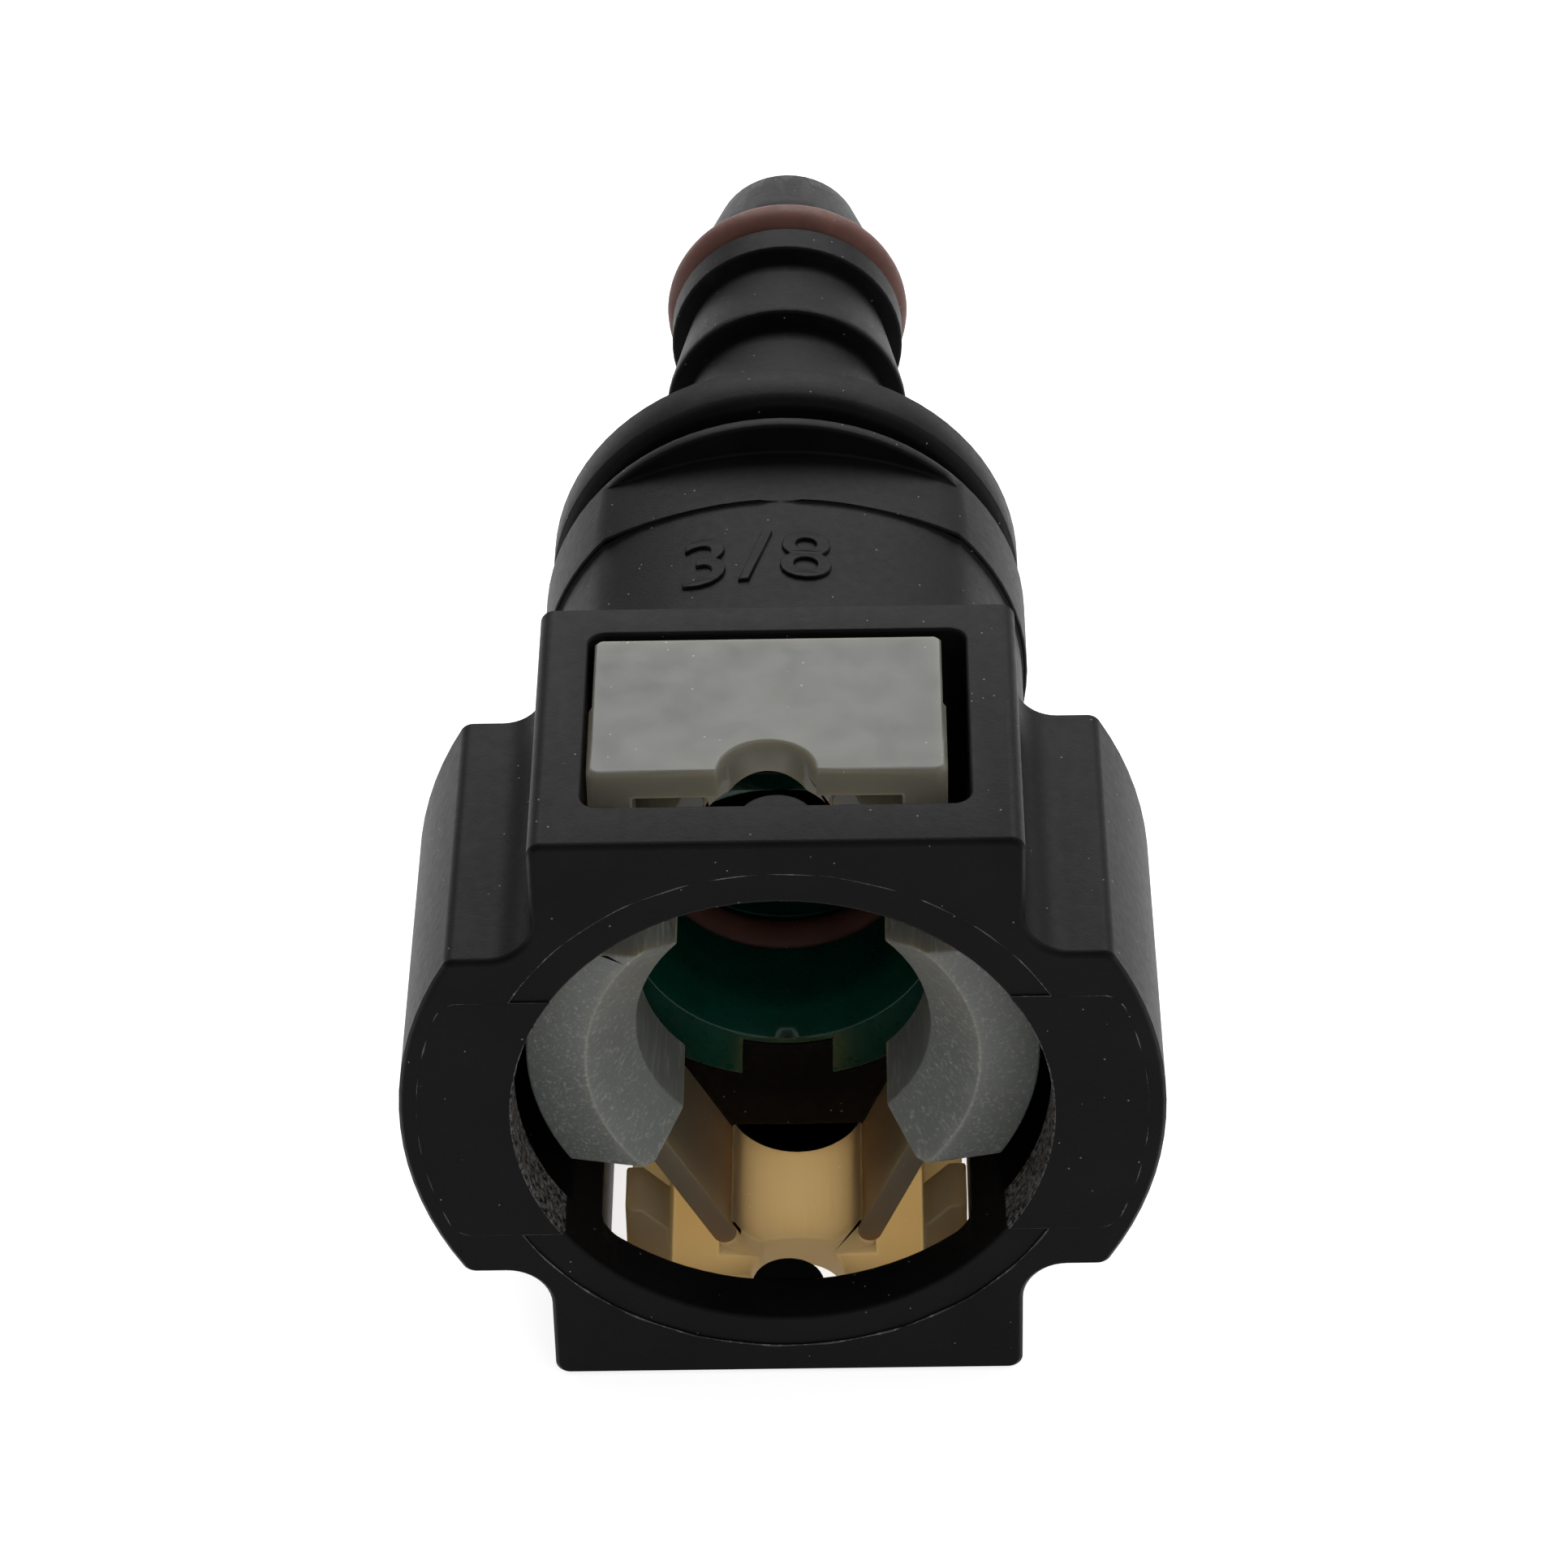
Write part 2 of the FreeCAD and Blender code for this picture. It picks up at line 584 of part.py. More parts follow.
def make_pad(label, turned):
    """A press pad: a plate with side skirts, front legs, a notch for the key and a foot for the webs."""
    body = new_body(label)
    top, under = "(head_height / 2)", "(head_height / 2 - pad_plate)"
    half, inner = "(window_width / 2 - pad_side_gap)", "(window_width / 2 - pad_side_gap - pad_side_wall)"
    leg_back = f"({PAD_FRONT} + pad_leg_length)"
    part_line = f"(({PAD_FRONT} + {PAD_BACK}) / 2)"
    rear_half = f"({half} - pad_rear_inset)"
    plan = sketch_on(body, "XY_Plane", "plate", under)
    rectangle(plan, f"-{half}", half, PAD_FRONT, PAD_BACK)
    pad(body, plan, "pad_plate")
    for side, sign in (("right", ""), ("left", "-")):
        skirt = sketch_on(body, "XY_Plane", f"skirt_{side}", f"{under} - pad_skirt")
        rectangle(skirt, f"{sign}{inner}", f"{sign}{rear_half}", leg_back, PAD_BACK)
        pad(body, skirt, "pad_skirt")
        leg = sketch_on(body, "XZ_Plane", f"leg_{side}", PAD_FRONT)
        tip = f"({under} - pad_leg)"
        polygon(
            leg,
            [
                (f"{sign}{inner}", under),
                (f"{sign}{half}", under),
                (f"{sign}{half}", tip),
                (f"{sign}({inner} + pad_leg_bevel)", tip),
                (f"{sign}{inner}", f"{tip} + pad_leg_bevel"),
            ],
        )
        pad(body, leg, "pad_leg_length", reverse=True)
    foot = sketch_on(body, "XZ_Plane", "foot", WEB_FRONT)
    foot_half, foot_low = "(web_pad_x + foot_wall)", f"({WEB_PAD_Z} + foot_wall)"
    run, rise = "(web_claw_x - web_pad_x)", f"({WEB_PAD_Z} - web_claw_z)"
    length = f"sqrt({run} ^ 2 + {rise} ^ 2)"
    crown = f"({under} - trough_skin)"
    lip_x = f"(trough_radius * {rise} / {length})"
    lip_z = f"({crown} - trough_radius + trough_radius * {run} / {length})"
    back_x = f"({lip_x} + web_lip_wall * {rise} / {length})"
    back_z = f"({lip_z} + web_lip_wall * {run} / {length})"
    reach = "(web_thickness / 2 + web_lip_gap)"
    top_x = f"(web_pad_x - {reach} * {rise} / {length})"
    top_z = f"({WEB_PAD_Z} - {reach} * {run} / {length})"
    polygon(
        foot,
        [
            (f"-{lip_x}", lip_z),
            (lip_x, lip_z),
            (back_x, back_z),
            (top_x, top_z),
            ("web_pad_x", WEB_PAD_Z),
            (foot_half, foot_low),
            (foot_half, under),
            (f"-{foot_half}", under),
            (f"-{foot_half}", foot_low),
            ("-web_pad_x", WEB_PAD_Z),
            (f"-{top_x}", top_z),
            (f"-{back_x}", back_z),
        ],
        arcs={0: ("trough_radius", -1)},
    )
    pad(body, foot, f"{WEB_BACK} - {WEB_FRONT}", reverse=True)
    sockets = sketch_on(body, "XZ_Plane", "web_sockets", WEB_FRONT)
    for sign in ("", "-"):
        circle(sockets, f"{sign}web_pad_x", WEB_PAD_Z, "web_thickness / 2 + pivot_gap")
    loose = pocket(body, sockets)
    ends, sides = (num(PAD_FRONT), num(PAD_BACK)), (num(half), num(rear_half))

    def corner(edge):
        box = edge.BoundBox
        upright = box.ZLength > 0.1 and max(box.XLength, box.YLength) < 0.01
        at_end = min(abs(box.YMin - y) for y in ends) < 0.01
        return upright and at_end and min(abs(abs(box.XMin) - x) for x in sides) < 0.01

    fillet(body, loose, "pad_corner_fillet", corner)
    notch = sketch_on(body, "XY_Plane", "key_notch")
    straight = f"({PAD_FRONT} + pad_notch_depth - pad_notch_radius)"
    polygon(
        notch,
        [
            ("-pad_notch_radius", f"{PAD_FRONT} - front_wall"),
            ("pad_notch_radius", f"{PAD_FRONT} - front_wall"),
            ("pad_notch_radius", straight),
            ("0", f"{straight} + pad_notch_radius"),
            ("-pad_notch_radius", straight),
        ],
        arcs={2: ("pad_notch_radius", 1), 3: ("pad_notch_radius", 1)},
    )
    pocket(body, notch)
    bevel = sketch_on(body, "YZ_Plane", "rear_bevel")
    beyond = f"({PAD_BACK} + front_wall)"
    polygon(
        bevel,
        [
            (WEB_BACK, "0"),
            (beyond, "0"),
            (beyond, f"{under} + pad_rear_bevel_rise"),
            (PAD_BACK, f"{under} + pad_rear_bevel_rise"),
            (WEB_BACK, under),
        ],
    )
    cut = pocket(body, bevel)
    top_z, notch_half = num(top), num("pad_notch_radius")

    def top_edge(edge):
        box = edge.BoundBox
        on_top = abs(box.ZMin - top_z) < 0.01 and abs(box.ZMax - top_z) < 0.01
        in_notch = max(abs(box.XMin), abs(box.XMax)) < notch_half + 0.01
        return on_top and not in_notch

    chamfer(body, cut, "pad_edge_chamfer", top_edge)
    trim = sketch_on(body, "XY_Plane", "rear_inset", under)
    for sign in ("", "-"):
        beyond_side = f"{sign}({half} + front_wall)"
        rectangle(trim, f"{sign}{rear_half}", beyond_side, part_line, f"{PAD_BACK} + front_wall")
    pocket(body, trim, "pad_plate", reverse=True)
    return seat_in_head(body, turned, drift=True)


def make_claw(label, turned):
    """A locking claw: a sloped lead-in, a land, the locking face and a thinner skin back to the webs."""
    body = new_body(label)
    skin_back = WEB_BACK
    profile = sketch_on(body, "XY_Plane", "claw_profile")
    outline = [("claw_ridge_radius", CLAW_FRONT), ("claw_inner_radius", f"{CLAW_FRONT} + claw_lead")]
    outline += [("claw_inner_radius", CLAW_LOCK), ("claw_skin_radius", CLAW_LOCK)]
    outline += [("claw_skin_radius", skin_back), ("claw_outer_radius", skin_back)]
    outline += [("claw_outer_radius", f"{CLAW_FRONT} + claw_face_fall")]
    polygon(profile, [(u, v) for u, v in reversed(outline)])
    revolve(body, profile, "V_Axis", angle="claw_angle")
    ends = sketch_on(body, "YZ_Plane", "claw_ends")
    far = "(claw_outer_radius + front_wall)"
    step = f"({CLAW_LOCK} + web_claw_gap / 2)"
    for sign in ("", "-"):
        polygon(
            ends,
            [
                (f"{CLAW_FRONT} - front_wall", f"{sign}claw_height / 2"),
                (step, f"{sign}claw_height / 2"),
                (step, f"{sign}web_claw_z"),
                (f"{WEB_BACK} + front_wall", f"{sign}web_claw_z"),
                (f"{WEB_BACK} + front_wall", f"{sign}{far}"),
                (f"{CLAW_FRONT} - front_wall", f"{sign}{far}"),
            ],
        )
    pocket(body, ends)
    sockets = sketch_on(body, "XZ_Plane", "web_sockets", step)
    for sign in ("", "-"):
        circle(sockets, "web_claw_x", f"{sign}web_claw_z", "web_thickness / 2 + open_pivot_gap")
    pocket(body, sockets, "chamber_length")
    return seat_in_head(body, turned)


def make_web(label, side, turned):
    """A flat web from a pad's foot to a claw's skin, with round ends and a relief for the claw in front."""
    body = new_body(label)
    sign = "" if side > 0 else "-"
    pad_x = "(web_pad_x - pad_drift)" if side > 0 else "(web_pad_x + pad_drift)"
    run, rise = f"(web_claw_x - {pad_x})", f"({WEB_PAD_Z} - web_claw_z)"
    length = f"sqrt({run} ^ 2 + {rise} ^ 2)"
    across_x, across_z = f"({rise} / {length} * web_thickness / 2)", f"({run} / {length} * web_thickness / 2)"
    section = sketch_on(body, "XZ_Plane", "web_section", WEB_FRONT)
    corners = [
        (f"{sign}({pad_x} - {across_x})", f"{WEB_PAD_Z} - {across_z}"),
        (f"{sign}(web_claw_x - {across_x})", f"web_claw_z - {across_z}"),
        (f"{sign}(web_claw_x + {across_x})", f"web_claw_z + {across_z}"),
        (f"{sign}({pad_x} + {across_x})", f"{WEB_PAD_Z} + {across_z}"),
    ]
    polygon(section, corners)
    pad(body, section, f"{WEB_BACK} - {WEB_FRONT}", reverse=True)
    knuckles = sketch_on(body, "XZ_Plane", "web_knuckles", WEB_FRONT)
    circle(knuckles, f"{sign}{pad_x}", WEB_PAD_Z, "web_thickness / 2")
    circle(knuckles, f"{sign}web_claw_x", "web_claw_z", "web_thickness / 2")
    pad(body, knuckles, f"{WEB_BACK} - {WEB_FRONT}", reverse=True)
    relief = sketch_on(body, "YZ_Plane", "claw_relief")
    rectangle(relief, f"{PAD_FRONT} - front_wall", f"{CLAW_LOCK} + web_claw_gap", "0", "web_front_low")
    pocket(body, relief)
    return seat_in_head(body, turned)


def make_retainer():
    return [
        make_pad("retainer_pad_top", False),
        make_pad("retainer_pad_bottom", True),
        make_claw("retainer_claw_right", False),
        make_claw("retainer_claw_left", True),
        make_web("retainer_web_top_right", 1, False),
        make_web("retainer_web_top_left", -1, False),
        make_web("retainer_web_bottom_left", 1, True),
        make_web("retainer_web_bottom_right", -1, True),
    ]


# --------------------------------------------------------------------------------------------------------
# Build, check and write
# --------------------------------------------------------------------------------------------------------
def check(parts):
    doc.recompute()
    for thing in doc.Objects:
        if any(word in thing.State for word in ("Invalid", "Error")):
            raise RuntimeError(f"{thing.Label} is {thing.State}")
    for part in parts:
        if part.Shape.isNull() or not part.Shape.isValid() or part.Shape.Volume <= 0:
            raise RuntimeError(f"{part.Label} has no valid shape")


def write(parts):
    os.makedirs("parts", exist_ok=True)
    for part in parts:
        part.Shape.exportStep(f"parts/{part.Label}.step")
        box = part.Shape.BoundBox
        print(
            f"{part.Label:28s} solids {len(part.Shape.Solids)} volume {part.Shape.Volume:9.2f}"
            f" x {box.XMin:7.2f} {box.XMax:7.2f} y {box.YMin:7.2f} {box.YMax:7.2f}"
            f" z {box.ZMin:7.2f} {box.ZMax:7.2f}"
        )


def main():
    parts = [make_housing(), make_bushing(), make_spacer(), *make_seals(), *make_retainer()]
    check(parts)
    write(parts)


main()
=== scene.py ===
import json
import math

import bmesh
import bpy
from mathutils import Matrix, Vector

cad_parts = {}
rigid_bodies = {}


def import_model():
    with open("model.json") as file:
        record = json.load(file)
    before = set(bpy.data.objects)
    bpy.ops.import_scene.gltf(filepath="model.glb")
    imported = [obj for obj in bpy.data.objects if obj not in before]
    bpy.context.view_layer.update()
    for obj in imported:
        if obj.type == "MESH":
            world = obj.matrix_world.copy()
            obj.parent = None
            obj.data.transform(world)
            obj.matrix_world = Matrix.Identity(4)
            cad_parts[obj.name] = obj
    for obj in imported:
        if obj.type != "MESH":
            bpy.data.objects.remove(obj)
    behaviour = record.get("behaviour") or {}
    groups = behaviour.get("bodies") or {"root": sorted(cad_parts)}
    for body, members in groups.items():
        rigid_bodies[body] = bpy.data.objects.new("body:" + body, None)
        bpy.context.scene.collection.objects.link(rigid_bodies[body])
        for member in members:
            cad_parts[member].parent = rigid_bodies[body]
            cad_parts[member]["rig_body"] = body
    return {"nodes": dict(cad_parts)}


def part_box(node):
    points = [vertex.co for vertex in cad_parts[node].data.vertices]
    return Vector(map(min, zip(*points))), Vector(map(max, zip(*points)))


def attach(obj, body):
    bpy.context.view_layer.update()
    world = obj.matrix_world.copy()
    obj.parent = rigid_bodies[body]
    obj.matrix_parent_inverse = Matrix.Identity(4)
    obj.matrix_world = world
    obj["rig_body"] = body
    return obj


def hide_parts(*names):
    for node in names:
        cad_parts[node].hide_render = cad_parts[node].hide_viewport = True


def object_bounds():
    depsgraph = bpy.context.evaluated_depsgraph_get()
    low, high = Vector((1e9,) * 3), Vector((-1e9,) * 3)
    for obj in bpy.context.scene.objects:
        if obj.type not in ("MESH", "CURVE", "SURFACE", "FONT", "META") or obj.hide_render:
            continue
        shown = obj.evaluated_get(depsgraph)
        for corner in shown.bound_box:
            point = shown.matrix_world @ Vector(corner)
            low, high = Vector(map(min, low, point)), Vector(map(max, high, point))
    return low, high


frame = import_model()
nodes = frame["nodes"]
cad_low, cad_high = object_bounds()
scene = bpy.context.scene

# Sizes in millimetres, as in the CAD source, and one millimetre in the scene's metres.
MM = 0.001
BARREL_CROWN = 12.0
BARREL_HALF_HEIGHT = 7.75
FACE_STEP_RADIUS = 10.25
# The mouth inserts: half their height, their bore's and outer radius, and the rounding of their corners.
INSERT_HALF = 5.03
INSERT_INNER = 9.07
INSERT_OUTER = 12.2
INSERT_CORNER = 0.85
# How far the insert faces stand proud of the housing's front, and how deep the fine lines' centres lie in it.
INSERT_PROUD = 0.004
LINE_DEPTH = 0.026


# ----------------------------------------------------------------------------------------------------
# Node helpers
# ----------------------------------------------------------------------------------------------------
class Tree:
    """A material or world node tree, with short calls for making and joining nodes."""

    def __init__(self, owner):
        owner.use_nodes = True
        self.tree = owner.node_tree
        self.tree.nodes.clear()

    def add(self, kind, inputs=None, **settings):
        node = self.tree.nodes.new(kind)
        for name, value in settings.items():
            setattr(node, name, value)
        for name, value in (inputs or {}).items():
            socket = node.inputs[name]
            if isinstance(value, bpy.types.NodeSocket):
                self.tree.links.new(value, socket)
            else:
                socket.default_value = value
        return node

    def link(self, a, b):
        self.tree.links.new(a, b)

    def place(self):
        """The surface's own coordinates in metres, scaled so that one unit is one millimetre."""
        coords = self.add("ShaderNodeTexCoord")
        return self.add(
            "ShaderNodeMapping", {"Vector": coords.outputs["Object"], "Scale": (1000, 1000, 1000)}
        ).outputs["Vector"]

    def noise(self, where, scale, detail=2.0, rough=0.5):
        return self.add(
            "ShaderNodeTexNoise", {"Vector": where, "Scale": scale, "Detail": detail, "Roughness": rough}
        ).outputs["Fac"]

    def span(self, value, low, high, to_low=0.0, to_high=1.0):
        return self.add(
            "ShaderNodeMapRange",
            {"Value": value, "From Min": low, "From Max": high, "To Min": to_low, "To Max": to_high},
        ).outputs["Result"]

    def math(self, operation, a, b):
        return self.add("ShaderNodeMath", {0: a, 1: b}, operation=operation).outputs[0]

    def specks(self, where, scale, size, share):
        """Small round dots, one in some of the cells of a cell pattern."""
        cells = self.add("ShaderNodeTexVoronoi", {"Vector": where, "Scale": scale})
        near = self.math("LESS_THAN", cells.outputs["Distance"], size)
        lot = self.add("ShaderNodeSeparateXYZ", {0: cells.outputs["Color"]}).outputs[0]
        return self.math("MULTIPLY", near, self.math("GREATER_THAN", lot, share))

    def blend(self, factor, a, b):
        node = self.add("ShaderNodeMix", data_type="RGBA")
        for socket, value in ((node.inputs[0], factor), (node.inputs[6], a), (node.inputs[7], b)):
            if isinstance(value, bpy.types.NodeSocket):
                self.link(value, socket)
            else:
                socket.default_value = value
        return node.outputs[2]

    def bump(self, height, distance, strength=1.0):
        return self.add(
            "ShaderNodeBump", {"Height": height, "Distance": distance * MM, "Strength": strength}
        ).outputs["Normal"]

    def surface(self, shader):
        self.add("ShaderNodeOutputMaterial", {"Surface": shader})


def colour(r, g, b):
    return (r, g, b, 1.0)


# ----------------------------------------------------------------------------------------------------
# Materials
# ----------------------------------------------------------------------------------------------------
def black_nylon(name, base, light, rough, wear):
    """Glass-filled nylon: a matt mould texture, slow tone changes and pale dust; scuffed where it wears."""
    mat = bpy.data.materials.new(name)
    t = Tree(mat)
    where = t.place()
    tone = t.span(t.noise(where, 0.35, 3.0), 0.35, 0.7)
    body = t.blend(tone, base, light)
    body = t.blend(t.specks(where, 2.6, 0.09, 0.8), body, colour(0.2, 0.19, 0.18))
    grain = t.noise(where, 9.0, 3.0, 0.6)
    if wear:
        scuffs = t.math("MULTIPLY", t.span(t.noise(where, 4.5, 4.0, 0.7), 0.52, 0.66), wear)
        body = t.blend(scuffs, body, colour(0.3, 0.29, 0.275))
    else:
        # Behind the front, the bore's walls at the two mouth inserts are left rough by their own mould faces;
        # their pale flecks are partly that rough surface and partly painted light, standing for the front
        # light these walls catch.
        x, y, z = t.add("ShaderNodeSeparateXYZ", {0: where}).outputs
        radius = t.math("SQRT", t.math("ADD", t.math("MULTIPLY", x, x), t.math("MULTIPLY", z, z)), 0.0)
        on_bore = t.math("LESS_THAN", radius, INSERT_INNER + 0.03)
        near_front = t.math("LESS_THAN", y, -10.3)
        beside_insert = t.math("LESS_THAN", t.math("ABSOLUTE", z, 0.0), INSERT_HALF + 0.02)
        rough_and_painted_lit_wall = t.math("MULTIPLY", t.math("MULTIPLY", on_bore, near_front), beside_insert)
        # Pale flecks on those walls: rough texture, lightened as painted light.
        flecks_and_painted_light = t.math("MULTIPLY", t.span(t.noise(where, 5.0, 3.0, 0.7), 0.4, 0.62), rough_and_painted_lit_wall)
        body = t.blend(flecks_and_painted_light, body, colour(0.22, 0.21, 0.2))
        grain = t.math("ADD", grain, t.math("MULTIPLY", flecks_and_painted_light, 4.0))
    shader = t.add(
        "ShaderNodeBsdfPrincipled",
        {
            "Base Color": body,
            "Roughness": t.span(t.noise(where, 3.0, 4.0), 0.3, 0.7, rough - 0.02, rough + 0.04),
            "Normal": t.bump(grain, 0.01, 0.9),
            "IOR": 1.5,
            "Specular IOR Level": 0.06,
        },
    )
    t.surface(shader.outputs[0])
    return mat


def natural_nylon(name, face, through, share, depth, streaks):
    """Natural nylon: grey in front light, amber where light comes through it; faintly cloudy, and scuffed."""
    mat = bpy.data.materials.new(name)
    t = Tree(mat)
    where = t.place()
    cloud = t.span(t.noise(where, 0.28, 3.0), 0.3, 0.7)
    pale = [min(1.0, 1.12 * c) for c in face[:3]]
    body = t.blend(cloud, face, colour(*pale))
    body = t.blend(t.specks(where, 2.2, 0.09, 0.8), body, colour(0.55, 0.56, 0.54))
    grain = t.noise(where, 5.0, 3.0, 0.6)
    if streaks:
        stretched = t.add("ShaderNodeMapping", {"Vector": where, "Scale": (4.5, 0.25, 4.5)}).outputs["Vector"]
        scratch = t.span(t.noise(stretched, 1.6, 5.0, 0.75), 0.52, 0.7)
        body = t.blend(t.math("MULTIPLY", scratch, 0.6), body, colour(0.85, 0.88, 0.85))
        grain = t.math("ADD", grain, scratch)
    skin = t.add(
        "ShaderNodeBsdfPrincipled",
        {
            "Base Color": body,
            "Roughness": t.span(t.noise(where, 0.9, 4.0), 0.3, 0.7, 0.36, 0.48),
            "Normal": t.bump(grain, 0.007, 0.6),
            "IOR": 1.53,
            "Subsurface Weight": 1.0,
            "Subsurface Radius": (1.0, 0.72, 0.36),
            "Subsurface Scale": depth * MM,
        },
    )
    glow = t.add("ShaderNodeBsdfTranslucent", {"Color": through})
    mixed = t.add("ShaderNodeMixShader", {0: share, 1: skin.outputs[0], 2: glow.outputs[0]})
    t.surface(mixed.outputs[0])
    return mat


def green_nylon(name):
    """Dark green nylon: glossy, with a faint flow pattern and a fine ripple."""
    mat = bpy.data.materials.new(name)
    t = Tree(mat)
    where = t.place()
    flow = t.span(t.noise(where, 0.6, 3.0), 0.35, 0.7)
    shader = t.add(
        "ShaderNodeBsdfPrincipled",
        {
            "Base Color": t.blend(flow, colour(0.001, 0.045, 0.028), colour(0.002, 0.065, 0.042)),
            "Roughness": t.span(t.noise(where, 2.0, 3.0), 0.3, 0.7, 0.24, 0.36),
            "Normal": t.bump(t.noise(where, 3.0, 2.0), 0.006, 0.6),
            "IOR": 1.53,
            "Specular IOR Level": 0.35,
        },
    )
    t.surface(shader.outputs[0])
    return mat


def seal_rubber(name):
    """Brown-red seal rubber: satin, with talc-like specks and a fine grain."""
    mat = bpy.data.materials.new(name)
    t = Tree(mat)
    where = t.place()
    tone = t.span(t.noise(where, 0.9, 3.0), 0.3, 0.7)
    body = t.blend(tone, colour(0.115, 0.048, 0.037), colour(0.15, 0.064, 0.05))
    shader = t.add(
        "ShaderNodeBsdfPrincipled",
        {
            "Base Color": t.blend(t.specks(where, 3.0, 0.1, 0.75), body, colour(0.22, 0.16, 0.14)),
            "Roughness": t.span(t.noise(where, 2.0, 3.0), 0.3, 0.7, 0.45, 0.6),
            "Normal": t.bump(t.noise(where, 12.0, 3.0), 0.01, 0.8),
            "IOR": 1.4,
            "Specular IOR Level": 0.3,
        },
    )
    t.surface(shader.outputs[0])
    return mat


# The black moulding's faces, its rounded edges and its mould lines: two tones, roughness and wear; the mould
# lines' pale tones are also a painted highlight along their ridge.
BLACK = black_nylon(
    "black_nylon", colour(0.006, 0.0054, 0.0057), colour(0.009, 0.0083, 0.0088), 0.44, 0.0
)
BLACK_EDGE = black_nylon(
    "black_nylon_edge", colour(0.014, 0.013, 0.013), colour(0.026, 0.025, 0.024), 0.4, 0.9
)
# Mould lines: pale grey that is partly wear and partly a painted highlight along the joint's ridge.
WITNESS_WEAR_AND_HIGHLIGHT = black_nylon(
    "black_nylon_witness_worn_painted_highlight", colour(0.05, 0.047, 0.044), colour(0.14, 0.135, 0.125), 0.4, 1.0
)
# The retainer: face tone, tone of light through it, that light's share, scatter depth in mm, and streaks.
PAD = natural_nylon(
    "natural_nylon_pad", colour(0.152, 0.159, 0.148), colour(0.95, 0.9, 0.76), 0.3, 2.2, False
)
# The bottom pad and its webs: a brighter, more amber copy of the pad's nylon, a painted glow standing for
# light coming through them from below.
PAD_PAINTED_GLOW = natural_nylon(
    "natural_nylon_painted_glow", colour(0.24, 0.25, 0.235), colour(0.93, 0.74, 0.42), 0.5, 0.8, False
)
CLAW = natural_nylon(
    "natural_nylon_claw", colour(0.3, 0.318, 0.303), colour(0.7, 0.6, 0.42), 0.18, 0.8, True
)
GREEN = green_nylon("green_nylon")
RUBBER = seal_rubber("seal_rubber")


# ----------------------------------------------------------------------------------------------------
# Shapes
# ----------------------------------------------------------------------------------------------------
def new_piece(name, mesh, body, materials):
    """A scene piece from a mesh, riding on a body and filed under a material slot."""
    piece = bpy.data.objects.new(name, mesh)
    scene.collection.objects.link(piece)
    for material in materials:
        mesh.materials.append(material)
    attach(piece, body)
    return piece


def reach(face, edge):
    """How far a face runs from the line of one of its edges."""
    start = edge.verts[0].co
    along = (edge.verts[1].co - start).normalized()
    return max(((v.co - start) - (v.co - start).dot(along) * along).length for v in face.verts)


def rounded(mesh, radius, angle, low, high, merge=True):
    """Merges flat faces, rounds sharp edges where both faces have room, and keeps the mesh in a box."""
    form = bmesh.new()
    form.from_mesh(mesh)
    bmesh.ops.remove_doubles(form, verts=form.verts, dist=1e-7)
    if merge:
        bmesh.ops.dissolve_limit(form, angle_limit=math.radians(0.5), verts=form.verts, edges=form.edges)
    weight = form.edges.layers.float.new("bevel_weight_edge")
    for edge in form.edges:
        if len(edge.link_faces) == 2 and edge.calc_face_angle(0.0) > math.radians(angle):
            room = min(reach(face, edge) for face in edge.link_faces)
            edge[weight] = 1.0 if room > 2.05 * radius * MM else 0.0  # a face may be rounded from two sides
    for face in form.faces:
        face.smooth = True
        face.material_index = 0
    form.to_mesh(mesh)
    form.free()
    blank = bpy.data.objects.new("blank", mesh)
    scene.collection.objects.link(blank)
    bevel = blank.modifiers.new("edge_rounding", "BEVEL")
    bevel.width = radius * MM
    bevel.segments = 2
    bevel.limit_method = "WEIGHT"
    bevel.use_clamp_overlap = False
    bevel.loop_slide = False
    bevel.material = 1
    blank.modifiers.new("flat_faces", "WEIGHTED_NORMAL").weight = 80
    bpy.context.view_layer.update()
    shaped = bpy.data.meshes.new_from_object(blank.evaluated_get(bpy.context.evaluated_depsgraph_get()))
    bpy.data.objects.remove(blank)
    for v in shaped.vertices:
        v.co = [min(max(c, a), b) for c, a, b in zip(v.co, low, high)]
    return shaped


def softened(node, name, materials, radius, angle=50.0, merge=True):
    """A copy of a CAD node with its flat faces merged and its sharp edges rounded, standing for that node."""
    mesh = nodes[node].data.copy()
    mesh.materials.clear()
    for material in materials:
        mesh.materials.append(material)
    shaped = rounded(mesh, radius, angle, *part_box(node), merge)
    shaped.materials.clear()
    shaped.name = name
    piece = new_piece(name, shaped, nodes[node]["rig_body"], materials)
    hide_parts(node)
    return piece


def ring(node, name, material, around=96, across=32):
    """A smooth ring of the CAD ring's size, round the flow axis, standing for that node."""
    low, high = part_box(node)
    centre = (low + high) / 2
    section = (high.y - low.y) / 2
    middle = (high.x - low.x) / 2 - section
    form = bmesh.new()
    rows = []
    for i in range(around):
        turn = 2 * math.pi * i / around
        row = []
        for j in range(across):
            lean = 2 * math.pi * j / across
            out = middle + section * math.cos(lean)
            place = Vector((out * math.cos(turn), section * math.sin(lean), out * math.sin(turn)))
            row.append(form.verts.new(centre + place))
        rows.append(row)
    for i in range(around):
        a, b = rows[i], rows[(i + 1) % around]
        for j in range(across):
            k = (j + 1) % across
            form.faces.new((a[j], a[k], b[k], b[j])).smooth = True
    bmesh.ops.recalc_face_normals(form, faces=form.faces)
    mesh = bpy.data.meshes.new(name)
    form.to_mesh(mesh)
    form.free()
    piece = new_piece(name, mesh, nodes[node]["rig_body"], [material])
    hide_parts(node)
    return piece


